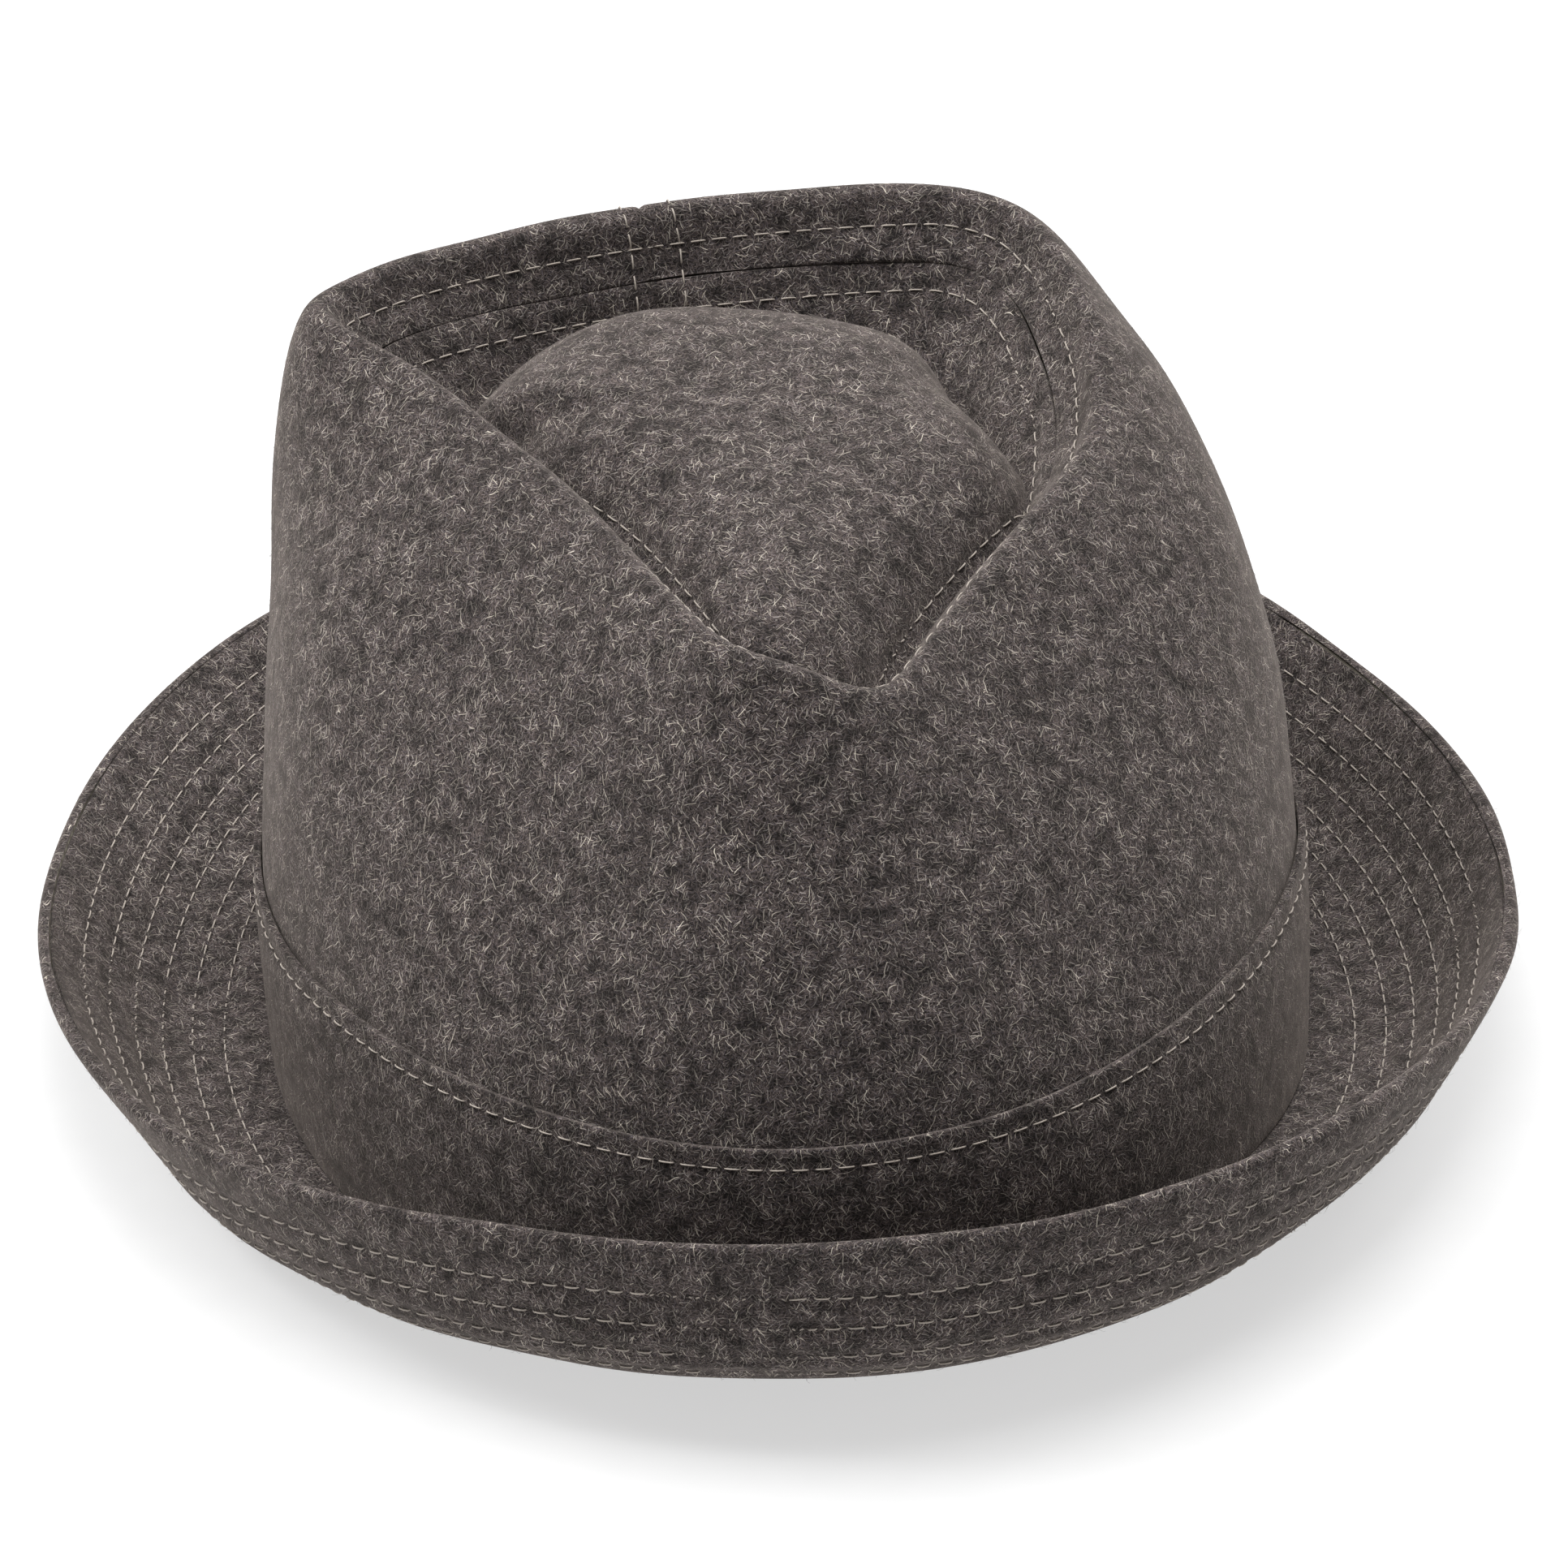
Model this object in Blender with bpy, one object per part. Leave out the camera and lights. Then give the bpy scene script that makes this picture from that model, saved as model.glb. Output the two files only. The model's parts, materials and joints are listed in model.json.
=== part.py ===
"""A short-brimmed men's hat, cut and sewn from charcoal wool cloth.

The crown has a teardrop top with a front pinch, and the brim is rolled up all round. Metres, +Z up,
front towards -Y, the wearer's left towards +X. The hat stands on the flat of its brim, at z = 0.
Every cloth layer is read from one of two surfaces, the crown's and the brim's, at its own depth.
"""

import math

import bmesh
import bpy
import numpy as np

# Sizes of the head opening, crown and brim.
HEAD_LENGTH = 0.198
HEAD_WIDTH = 0.165
CROWN_HEIGHT = 0.1213
BRIM_WIDTH = 0.0515
BRIM_FLAT = 0.012
BRIM_CURL = 0.026
BRIM_LIFT = 0.0085
LEVEL_SHARE = 0.26
HATBAND_HEIGHT = 0.0345
HATBAND_FRONT_RISE = 0.0025
SWEATBAND_HEIGHT = 0.030
LINING_BELOW_VALLEY = 0.012
LINING_TIP_RISE = 0.005

# Roll of the brim's edge: degrees that the cloth turns up through, round the hat.
ROLL_MEAN = 57.0
ROLL_FRONT = 27.0
ROLL_ENDS = 5.0
ROLL_LEAN = -3.0
ROLL_TWIST = -6.5

# Crown ridge and the hollow inside it.
RIDGE_RADIUS = 0.0032
WALL_BULGE = 0.003
SEAM_DEPTH = 0.009
SLOPE_LENGTH = 0.0145
SLOPE_GAIN = 0.0025
SLOPE_ANGLE = 55.0
SLOPE_STEEPER = 6.0
# Folds at the back corners: their direction, how far they spread each way in degrees, and how much longer
# the slope is at their middle.
SLOPE_CORNERS = ((128, 62, 0.0145), (228, 38, 0.0135))
CORNER_FLATTER = 14.0
DOME_CENTRE = (0.008, 0.014)
DOME_BELOW_TOP = 0.011
DOME_TILT = (-0.02, 0.17)
DOME_FULLNESS = 6
MOST_SLANT = 1.5

# Cloth thicknesses, and the clearance between one layer and the next.
WOOL = 0.0014
BRIM_WOOL = 0.0011
CROWN_INTERLINING = 0.0006
BRIM_INTERLINING = 0.0006
SWEATBAND_FOAM = 0.0012
SWEATBAND_CLOTH = 0.0009
LINING = 0.0005
LINING_EASE = 0.0013
PIPING_RADIUS = 0.0010
GAP = 0.0003

# Topstitching.
THREAD_RADIUS = 0.0002
SEAM_TO_ROW = 0.006
HATBAND_ROW_DROP = 0.003
CENTRE_BACK_ROWS = 0.0085
CREST_ROW_PLACE = 1.75
BRIM_ROWS = 6
BRIM_ROW_START = 0.0145
BRIM_ROW_MARGIN = 0.008

# Care label, sewn by its top edge inside the centre back.
LABEL_WIDTH = 0.026
LABEL_HEIGHT = 0.015
LABEL_THICKNESS = 0.0006
LABEL_BELOW_TOP = 0.003

# The ridge, from the front round by the wearer's left. Each row is a direction on the head oval in degrees,
# the ridge's place across and along in shares of the base oval's half width and half length, and its drop
# below the crown's height in millimetres. Then comes the wall under it: the angle it arrives at, and how
# straight its shoulder and its foot run, in millimetres.
RIDGE = (
    (0, -0.034, -0.520, 17.8, 32, 26, 34),
    (13, 0.088, -0.520, 24.6, 30, 22, 34),
    (20, 0.155, -0.470, 23.8, 32, 22, 34),
    (27, 0.232, -0.405, 21.8, 35, 22, 34),
    (40, 0.355, -0.300, 19.3, 45, 26, 34),
    (57, 0.510, -0.175, 16.3, 55, 32, 36),
    (75, 0.675, -0.010, 14.3, 62, 36, 40),
    (97, 0.760, 0.210, 9.3, 56, 32, 50),
    (117, 0.765, 0.415, 5.3, 48, 26, 56),
    (130, 0.745, 0.545, 3.2, 42, 22, 60),
    (138, 0.685, 0.645, 1.7, 38, 22, 60),
    (147, 0.560, 0.702, 1.3, 40, 28, 52),
    (165, 0.275, 0.750, 0.6, 38, 30, 48),
    (180, 0.010, 0.772, 0.6, 38, 30, 48),
    (195, -0.230, 0.765, 0.6, 38, 30, 48),
    (206, -0.425, 0.735, 0.3, 36, 26, 50),
    (217, -0.600, 0.682, 0.1, 34, 22, 56),
    (227, -0.708, 0.610, 0.0, 36, 20, 60),
    (237, -0.668, 0.525, 1.0, 44, 22, 62),
    (250, -0.575, 0.405, 2.5, 54, 30, 62),
    (272, -0.440, 0.150, 5.8, 61, 44, 56),
    (285, -0.373, -0.003, 7.7, 58, 46, 42),
    (299, -0.320, -0.150, 9.5, 52, 42, 38),
    (315, -0.267, -0.296, 11.3, 44, 36, 34),
    (330, -0.224, -0.414, 12.7, 38, 30, 34),
    (345, -0.166, -0.495, 13.8, 34, 28, 34),
)

# How finely the surfaces are drawn. A place up the crown counts 0 to 1 up the wall, to 2 over the ridge's
# roll, to 3 down the slope inside it, and to 4 at the middle of the dome.
PLACES = 48
SAMPLES = 24
SLOPE = 2
DOME = 3
SIDE_RINGS = (0, 0.17, 0.34, 0.5, 0.65, 0.8, 0.92, 1, 1.33, 1.67, 2)
WALL_RINGS = SIDE_RINGS[:8]
INTERLINING_RINGS = SIDE_RINGS[:6]
DOME_RINGS = (3, 3.06, 3.2, 3.5)
LINING_RINGS = (0, 0.33, 0.67, 1)
LINING_TIP_RINGS = (0.04, 0.3, 0.6)
CURL_RINGS = (0.25, 0.5, 0.78, 1)
EDGE_TURNS = (60, 120, 180)
BRIM_PLACES = (0, BRIM_FLAT, *(BRIM_FLAT + BRIM_CURL * share for share in CURL_RINGS), BRIM_WIDTH)
LEAST_STEP = 0.01
FINE_STEPS = 200
SHARP_ANGLE = 50.0

# Depths below the crown's outer face, and below and above the brim's middle.
FOAM_DEPTH = WOOL + GAP + CROWN_INTERLINING + GAP
SWEATBAND_DEPTH = FOAM_DEPTH + SWEATBAND_FOAM + GAP
CROWN_STACK = SWEATBAND_DEPTH + SWEATBAND_CLOTH
LINING_DEPTH = WOOL + GAP + CROWN_INTERLINING + LINING_EASE
HALF_CORE = BRIM_INTERLINING / 2
HALF_INSIDE = HALF_CORE + GAP
HALF_BRIM = HALF_INSIDE + BRIM_WOOL
HALF_LENGTH = HEAD_LENGTH / 2 + CROWN_STACK
HALF_WIDTH = HEAD_WIDTH / 2 + CROWN_STACK

UP = np.array([0.0, 0.0, 1.0])
MM = 0.001


def clear_scene():
    for thing in list(bpy.data.objects):
        bpy.data.objects.remove(thing)


def material(name, colour, roughness):
    """A dull cloth finish: its colour in linear light, and its roughness."""
    made = bpy.data.materials.new(name)
    made.use_nodes = True
    shader = made.node_tree.nodes["Principled BSDF"]
    shader.inputs["Base Color"].default_value = (*colour, 1)
    shader.inputs["Roughness"].default_value = roughness
    shader.inputs["Metallic"].default_value = 0
    return made


def smooth_step(share):
    share = np.clip(share, 0, 1)
    return share * share * (3 - 2 * share)


def around(column, directions):
    """One column of RIDGE, read smoothly at any directions round the hat."""
    rows = np.array(RIDGE, float)
    turns = np.concatenate([rows[-2:, 0] - 360, rows[:, 0], rows[:2, 0] + 360])
    values = np.concatenate([rows[-2:, column], rows[:, column], rows[:2, column]])
    slopes = (values[2:] - values[:-2]) / (turns[2:] - turns[:-2])
    turns, values = turns[1:-1], values[1:-1]
    row = np.searchsorted(turns, directions, side="right") - 1
    width = turns[row + 1] - turns[row]
    t = (directions - turns[row]) / width
    start = (2 * t**3 - 3 * t**2 + 1) * values[row] + (t**3 - 2 * t**2 + t) * width * slopes[row]
    end = (3 * t**2 - 2 * t**3) * values[row + 1] + (t**3 - t**2) * width * slopes[row + 1]
    return start + end


def brim_lift(directions):
    """How far the brim's flat stands off the table: level at both sides, raised at the front and back."""
    towards_ends = np.abs(np.cos(np.radians(directions)))
    return BRIM_LIFT * smooth_step((towards_ends - LEVEL_SHARE) / (1 - LEVEL_SHARE))


def base_oval(directions):
    """Points of the crown's foot on the brim, and the level directions away from the head there."""
    turn = np.radians(directions)
    across, along = np.sin(turn), -np.cos(turn)
    foot = brim_lift(directions) + 2 * HALF_BRIM + GAP
    points = np.stack([HALF_WIDTH * across, HALF_LENGTH * along, foot], -1)
    away = np.stack([across / HALF_WIDTH, along / HALF_LENGTH, 0 * across], -1)
    return points, away / np.linalg.norm(away, axis=-1, keepdims=True)


def crown_surface(directions):
    """The crown's outer face as (rings, places, 3), its outward normals, and the length of its slope."""
    foot, away = base_oval(directions)
    ridge = np.stack(
        [
            HALF_WIDTH * around(1, directions),
            HALF_LENGTH * around(2, directions),
            CROWN_HEIGHT - MM * around(3, directions),
        ],
        -1,
    )
    run = np.roll(ridge, -1, 0) - np.roll(ridge, 1, 0)
    out = np.stack([run[:, 1], -run[:, 0], 0 * run[:, 0]], -1)
    out = out / np.linalg.norm(out, axis=1, keepdims=True) + away
    out /= np.linalg.norm(out, axis=1, keepdims=True)
    centre = np.array([*DOME_CENTRE, CROWN_HEIGHT - DOME_BELOW_TOP])
    inward = (centre - ridge) * (1, 1, 0)
    inward /= np.linalg.norm(inward, axis=1, keepdims=True)
    squareness = -np.sum(inward * out, axis=1, keepdims=True)
    inward *= np.minimum(1 / np.maximum(squareness, 1 / MOST_SLANT), MOST_SLANT)

    arrive = np.radians(around(4, directions))[:, None]
    roll_centre = ridge - RIDGE_RADIUS * UP
    shoulder = roll_centre + RIDGE_RADIUS * (np.cos(arrive) * out + np.sin(arrive) * UP)
    climbing = np.cos(arrive) * UP - np.sin(arrive) * out
    low = foot + MM * around(6, directions)[:, None] * UP + WALL_BULGE * away
    high = shoulder - MM * around(5, directions)[:, None] * climbing
    share = np.linspace(0, 1, SAMPLES + 1)
    rings = []
    for t in share:
        start = (1 - t) ** 3 * foot + 3 * (1 - t) ** 2 * t * low
        rings.append(start + 3 * (1 - t) * t**2 * high + t**3 * shoulder)
    for t in share[1:]:
        turn = arrive + (math.pi - arrive) * t
        reach = np.where(np.cos(turn) > 0, np.cos(turn) * out, -np.cos(turn) * inward)
        rings.append(roll_centre + RIDGE_RADIUS * (reach + np.sin(turn) * UP))
    frontness = np.cos(np.radians(directions))[:, None]
    steepness = SLOPE_ANGLE - SLOPE_STEEPER * frontness
    length = SLOPE_LENGTH - SLOPE_GAIN * frontness
    for corner, spread, extra in SLOPE_CORNERS:
        nearness = smooth_step(1 - np.abs(directions - corner) / spread)[:, None]
        steepness -= CORNER_FLATTER * nearness
        length += extra * nearness
    steepness = np.radians(steepness)
    slope = np.cos(steepness) * inward - np.sin(steepness) * UP
    lip = rings[-1]
    for t in share[1:]:
        rings.append(lip + slope * length * t)
    valley = rings[-1]
    rim = centre[2] + (valley[:, :2] - centre[:2]) @ DOME_TILT
    for t in share[1:]:
        ring = valley + (centre - valley) * t
        ring[:, 2] = centre[2] + (ring[:, :2] - centre[:2]) @ DOME_TILT
        ring[:, 2] += (valley[:, 2] - rim) * (1 - t) ** DOME_FULLNESS
        rings.append(ring)
    surface = np.array(rings)
    return surface, outward_normals(surface), length[:, 0]


def outward_normals(surface):
    around_step = np.roll(surface, -1, 1) - np.roll(surface, 1, 1)
    steps = np.diff(surface, axis=0)
    steps /= np.linalg.norm(steps, axis=-1, keepdims=True)
    up_step = np.concatenate([steps[:1], steps[:-1] + steps[1:], steps[-1:]])
    normals = np.cross(around_step, up_step)
    normals[-1] = UP
    return normals / np.linalg.norm(normals, axis=-1, keepdims=True)


DIRECTIONS = np.arange(PLACES) * 360 / PLACES
CROWN, CROWN_NORMALS, SLOPE_LENGTHS = crown_surface(DIRECTIONS)


def crown_ring(where, depth=0.0):
    """Points at a place up the crown, one place for all or one each, at a depth below its outer face."""
    place = np.broadcast_to(np.asarray(where, float) * SAMPLES, (PLACES,))
    lower = np.minimum(place.astype(int), len(CROWN) - 2)
    share = (place - lower)[:, None]
    column = np.arange(PLACES)
    points = CROWN[lower, column] * (1 - share) + CROWN[lower + 1, column] * share
    normals = CROWN_NORMALS[lower, column] * (1 - share) + CROWN_NORMALS[lower + 1, column] * share
    normals /= np.linalg.norm(normals, axis=1, keepdims=True)
    return points - depth * normals


def wall_place(height):
    """Where the wall reaches a height above its foot, one value or one each, as a place for crown_ring."""
    heights = np.broadcast_to(height, (PLACES,))
    wall = CROWN[: SAMPLES + 1, :, 2]
    shares = np.linspace(0, 1, SAMPLES + 1)
    found = [np.interp(heights[i], wall[:, i] - wall[0, i], shares) for i in range(PLACES)]
    return np.array(found)


def read_between(place, stops, rings):
    """Points at a place on the flat stretches between rings, one place for all or one each."""
    stops = np.array([np.broadcast_to(stop, (PLACES,)) for stop in stops])
    places = np.broadcast_to(place, (PLACES,))
    rings = np.array(rings)
    columns = [[np.interp(places[i], stops[:, i], rings[:, i, k]) for i in range(PLACES)] for k in range(3)]
    return np.array(columns).T


def straight_ring(place, depth, between=WALL_RINGS):
    """Points between a crown panel's own rings, where neighbouring layers lie parallel."""
    return read_between(place, between, [crown_ring(ring, depth) for ring in between])


def band_rings(top, depth):
    """Rings of a band from the wall's foot up to its top edge, at the side panel's own rings below that."""
    below = [ring for ring in WALL_RINGS if ring < top.max()]
    places = [np.minimum(ring, top - LEAST_STEP * (len(below) - k)) for k, ring in enumerate(below)]
    return [straight_ring(place, depth) for place in (*places, top)]


def slope_place(distance):
    """The place for crown_ring that lies a distance down the slope inside the ridge."""
    return SLOPE + distance / SLOPE_LENGTHS


def tip_rings():
    return [slope_place(SEAM_DEPTH + GAP), *DOME_RINGS]


def tip_place(distance):
    """The place for crown_ring that lies a distance along the tip, measured from the ridge seam."""
    found = []
    numbers = np.arange(len(CROWN))
    for i, start in enumerate(slope_place(SEAM_DEPTH)):
        places = np.linspace(start, DOME + 0.5, FINE_STEPS)
        points = [np.interp(places * SAMPLES, numbers, CROWN[:, i, k]) for k in range(3)]
        steps = np.linalg.norm(np.diff(points, axis=1), axis=0)
        found.append(np.interp(distance, np.concatenate([[0], np.cumsum(steps)]), places))
    return np.array(found)


def brim_profile():
    """Turn and middle of the brim for every whole step across it, round the hat."""
    turn = np.radians(DIRECTIONS)
    rise = ROLL_MEAN + ROLL_FRONT * np.cos(turn) + ROLL_ENDS * np.cos(2 * turn)
    rise += ROLL_LEAN * np.sin(turn) + ROLL_TWIST * np.sin(2 * turn)
    across = np.linspace(0, BRIM_WIDTH, FINE_STEPS)
    angle = np.radians(rise)[None] * smooth_step((across - BRIM_FLAT) / BRIM_CURL)[:, None]
    step = across[1] - across[0]
    middle = (angle[1:] + angle[:-1]) / 2
    start = np.zeros((1, PLACES))
    out = np.concatenate([start, np.cumsum(np.cos(middle) * step, 0)]) - CROWN_STACK
    up = np.concatenate([start, np.cumsum(np.sin(middle) * step, 0)])
    return across, angle, out, up


BRIM_ACROSS, BRIM_ANGLE, BRIM_OUT, BRIM_UP = brim_profile()


def brim_ring(distance, height, ahead=0.0):
    """Points a distance across the brim, at a height above its middle, and a little ahead along it."""
    foot, away = base_oval(DIRECTIONS)
    read = []
    for table in (BRIM_ANGLE, BRIM_OUT, BRIM_UP):
        read.append([[np.interp(distance, BRIM_ACROSS, table[:, i])] for i in range(PLACES)])
    angle, out, up = np.array(read)
    out = out - height * np.sin(angle) + ahead * np.cos(angle)
    up = up + height * np.cos(angle) + ahead * np.sin(angle)
    level = brim_lift(DIRECTIONS)[:, None] + HALF_BRIM
    return foot * (1, 1, 0) + out * away + (level + up) * UP


def add_object(name, bm, finish):
    bmesh.ops.recalc_face_normals(bm, faces=bm.faces[:])
    mesh = bpy.data.meshes.new(name)
    bm.to_mesh(mesh)
    bm.free()
    mesh.shade_smooth()
    mesh.set_sharp_from_angle(angle=math.radians(SHARP_ANGLE))
    mesh.materials.append(finish)
    made = bpy.data.objects.new(name, mesh)
    bpy.context.scene.collection.objects.link(made)
    return made


def add_skin(bm, rings, pole=None):
    """Quads between rings of points, closed by a fan where the skin ends in one point."""
    made = [[bm.verts.new(point) for point in ring] for ring in rings]
    for low, high in zip(made, made[1:]):
        for i in range(len(low)):
            j = (i + 1) % len(low)
            bm.faces.new((low[i], low[j], high[j], high[i]))
    if pole is not None:
        tip = bm.verts.new(pole)
        for i in range(len(made[-1])):
            bm.faces.new((made[-1][i], made[-1][(i + 1) % len(made[-1])], tip))
    return made


def add_rim(bm, first, second):
    for i in range(len(first)):
        j = (i + 1) % len(first)
        bm.faces.new((first[i], first[j], second[j], second[i]))


def cloth_ring(name, outer, inner, finish):
    """A band of cloth that goes right round: two skins joined along both edges."""
    bm = bmesh.new()
    face, back = add_skin(bm, outer), add_skin(bm, inner)
    add_rim(bm, face[0], back[0])
    add_rim(bm, face[-1], back[-1])
    return add_object(name, bm, finish)


def cloth_cap(name, outer, inner, outer_pole, inner_pole, finish):
    """A closed top of cloth: two skins that each end in a point, joined along the edge."""
    bm = bmesh.new()
    face, back = add_skin(bm, outer, outer_pole), add_skin(bm, inner, inner_pole)
    add_rim(bm, face[0], back[0])
    return add_object(name, bm, finish)


def add_thread(bm, points, closed, radius):
    """A three-sided thread through points, in a loop or with two flat ends."""
    points = np.array(points)
    ahead = np.roll(points, -1, 0) - np.roll(points, 1, 0)
    if not closed:
        ahead = np.gradient(points, axis=0)
    ahead /= np.linalg.norm(ahead, axis=1, keepdims=True)
    side = np.cross(ahead, UP if closed else (1, 0, 0))
    side /= np.linalg.norm(side, axis=1, keepdims=True)
    other = np.cross(side, ahead)
    corners = []
    for turn in (90, 210, 330):
        angle = math.radians(turn)
        ring = points + radius * (math.cos(angle) * side + math.sin(angle) * other)
        corners.append([bm.verts.new(point) for point in ring])
    last = len(points) if closed else len(points) - 1
    for k in range(3):
        a, b = corners[k], corners[(k + 1) % 3]
        for i in range(last):
            j = (i + 1) % len(points)
            bm.faces.new((a[i], a[j], b[j], b[i]))
    if not closed:
        for end in (0, -1):
            bm.faces.new([corner[end] for corner in corners])


def thread_ring(name, row, finish, radius=THREAD_RADIUS):
    bm = bmesh.new()
    add_thread(bm, row, True, radius)
    return add_object(name, bm, finish)


def crown_side(finish):
    """One panel from the brim over the ridge to the seam inside it, joined at the centre back."""
    places = [*SIDE_RINGS, slope_place(SEAM_DEPTH)]
    outer = [crown_ring(place) for place in places]
    inner = [crown_ring(place, WOOL) for place in places]
    cloth_ring("crown_side", outer, inner, finish)


def crown_tip(finish):
    """The oval let into the ridge, which sinks to a valley and swells to a dome."""
    outer = [crown_ring(place) for place in tip_rings()]
    inner = [crown_ring(place, WOOL) for place in tip_rings()]
    pole = CROWN[-1, 0]
    cloth_cap("crown_tip", outer, inner, pole, pole - WOOL * UP, finish)


def crown_interlinings(finish):
    """Stiff canvas behind the side panel, and a second piece under the tip's dome."""
    face, back = WOOL + GAP, WOOL + GAP + CROWN_INTERLINING
    outer = [crown_ring(place, face) for place in INTERLINING_RINGS]
    inner = [crown_ring(place, back) for place in INTERLINING_RINGS]
    cloth_ring("crown_side_interlining", outer, inner, finish)
    pole = CROWN[-1, 0]
    outer = [crown_ring(place, face) for place in DOME_RINGS[1:]]
    inner = [crown_ring(place, back) for place in DOME_RINGS[1:]]
    cloth_cap("crown_tip_interlining", outer, inner, pole - face * UP, pole - back * UP, finish)


def hatband_top():
    return HATBAND_HEIGHT - brim_lift(DIRECTIONS) + HATBAND_FRONT_RISE * np.cos(np.radians(DIRECTIONS))


def hatband(finish):
    """A band of the same cloth round the foot of the crown, turned in along its top edge."""
    top = wall_place(hatband_top())
    cloth_ring("hatband", band_rings(top, -GAP - WOOL), band_rings(top, -GAP), finish)


def brim(wool, canvas):
    """Upper and under cloth with canvas between. The under cloth turns over the edge to meet the upper."""
    upper_across = [*BRIM_PLACES[:-1], BRIM_WIDTH - GAP]
    outer = [brim_ring(place, HALF_BRIM) for place in upper_across]
    inner = [brim_ring(place, HALF_INSIDE) for place in upper_across]
    cloth_ring("brim_upper", outer, inner, wool)
    outer = [brim_ring(place, HALF_CORE) for place in BRIM_PLACES]
    inner = [brim_ring(place, -HALF_CORE) for place in BRIM_PLACES]
    cloth_ring("brim_interlining", outer, inner, canvas)
    outer = [brim_ring(place, -HALF_BRIM) for place in BRIM_PLACES]
    inner = [brim_ring(place, -HALF_INSIDE) for place in BRIM_PLACES]
    for turn in EDGE_TURNS:
        angle = math.radians(turn)
        outer.append(brim_ring(BRIM_WIDTH, -HALF_BRIM * math.cos(angle), HALF_BRIM * math.sin(angle)))
        inner.append(brim_ring(BRIM_WIDTH, -HALF_INSIDE * math.cos(angle), HALF_INSIDE * math.sin(angle)))
    cloth_ring("brim_under", outer, inner, wool)


def sweatband(cloth, foam):
    """A twill band inside the head opening, with a strip of foam behind it."""
    top = wall_place(SWEATBAND_HEIGHT)
    cloth_ring("sweatband", band_rings(top, SWEATBAND_DEPTH), band_rings(top, CROWN_STACK), cloth)
    back = band_rings(top, FOAM_DEPTH)
    cloth_ring("sweatband_foam", back, band_rings(top, FOAM_DEPTH + SWEATBAND_FOAM), foam)


def lining(cloth, piping):
    """A satin side from the sweatband up, a satin tip across its top, and piping over their seam."""
    bottom = wall_place(SWEATBAND_HEIGHT + 4 * GAP)
    valley = CROWN[SLOPE * SAMPLES :, :, 2].min()
    top = wall_place(valley - LINING_BELOW_VALLEY - CROWN[0, :, 2])
    places = [bottom + (top - bottom) * share for share in LINING_RINGS]
    outer = [crown_ring(place, LINING_DEPTH) for place in places]
    inner = [crown_ring(place, LINING_DEPTH + LINING) for place in places]
    cloth_ring("lining_side", outer, inner, cloth)
    edge = crown_ring(top, LINING_DEPTH)
    centre = np.array([*DOME_CENTRE, edge[:, 2].max() + LINING_TIP_RISE])
    spread = [edge + (centre - edge) * share for share in LINING_TIP_RINGS]
    for ring, share in zip(spread, LINING_TIP_RINGS):
        ring[:, 2] = edge[:, 2] + 2 * GAP + (centre[2] - edge[:, 2]) * math.sin(share * math.pi / 2)
    pole = centre + 2 * GAP * UP
    lower = [ring - LINING * UP for ring in spread]
    cloth_cap("lining_tip", spread, lower, pole, pole - LINING * UP, cloth)
    seam = crown_ring(top, LINING_DEPTH + LINING + GAP + 2 * PIPING_RADIUS)
    thread_ring("lining_piping", seam - 2 * PIPING_RADIUS * UP, piping, PIPING_RADIUS)


def crown_stitching(thread):
    """A row of topstitching either side of the ridge seam, and two rows beside the centre-back seam."""
    above = -GAP - THREAD_RADIUS
    on_crest = smooth_step(np.cos(np.radians(DIRECTIONS)))
    inside = slope_place(SEAM_DEPTH - SEAM_TO_ROW)
    row = crown_ring(inside + (CREST_ROW_PLACE - inside) * on_crest, above)
    thread_ring("ridge_topstitching", row, thread)
    row = straight_ring(tip_place(SEAM_TO_ROW), above - 2 * GAP, tip_rings())
    thread_ring("tip_topstitching", row, thread)
    row = straight_ring(wall_place(hatband_top() - HATBAND_ROW_DROP), above - GAP - WOOL)
    thread_ring("hatband_topstitching", row, thread)
    back = PLACES // 2
    start = wall_place(hatband_top() + 2 * WOOL)[back]
    places = [start, *(place for place in SIDE_RINGS if place > start)]
    short_of_row = SEAM_DEPTH - SEAM_TO_ROW - 2 * THREAD_RADIUS - GAP
    places.append(slope_place(short_of_row)[back])
    for side, name in ((1, "left"), (-1, "right")):
        bm = bmesh.new()
        row = []
        for place in places:
            ring = crown_ring(place, above)
            middle, beside = ring[back], ring[back - side]
            share = CENTRE_BACK_ROWS / 2 / abs(beside[0] - middle[0])
            row.append(middle + (beside - middle) * share)
        add_thread(bm, row, False, THREAD_RADIUS)
        add_object(f"centre_back_topstitching_{name}", bm, thread)


def brim_stitching(thread):
    """Parallel rows of topstitching that stiffen the brim."""
    above = HALF_BRIM + GAP + THREAD_RADIUS
    rings = [brim_ring(place, above) for place in BRIM_PLACES]
    rows = np.linspace(BRIM_ROW_START, BRIM_WIDTH - BRIM_ROW_MARGIN, BRIM_ROWS)
    for number, distance in enumerate(rows, 1):
        thread_ring(f"brim_topstitching_{number}", read_between(distance, BRIM_PLACES, rings), thread)


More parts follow.
